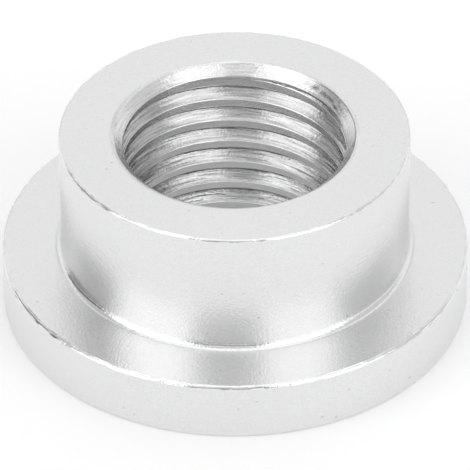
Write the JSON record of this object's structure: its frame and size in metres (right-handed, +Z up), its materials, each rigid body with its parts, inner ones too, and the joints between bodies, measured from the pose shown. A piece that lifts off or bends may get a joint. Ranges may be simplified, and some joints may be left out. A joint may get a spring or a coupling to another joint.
{
  "type": "weld bung",
  "caption": "Turned round weld-on bung with a wide flange, a narrower boss and a threaded through bore, for fixing a plug or sensor in sheet metal.",
  "frame": {"origin": "centre of the flange's underside, on the bore's axis", "axes": "+Z up along the bore, from the flange towards the boss; X and Y are free, as the body is round"},
  "size_m": [0.0254, 0.0254, 0.0106],
  "materials": {
    "turned_aluminium": "bright fine-turned bare metal, with faint tool lines"
  },
  "bodies": {
    "root": {"weld_bung": "turned_aluminium"}
  },
  "joints": []
}
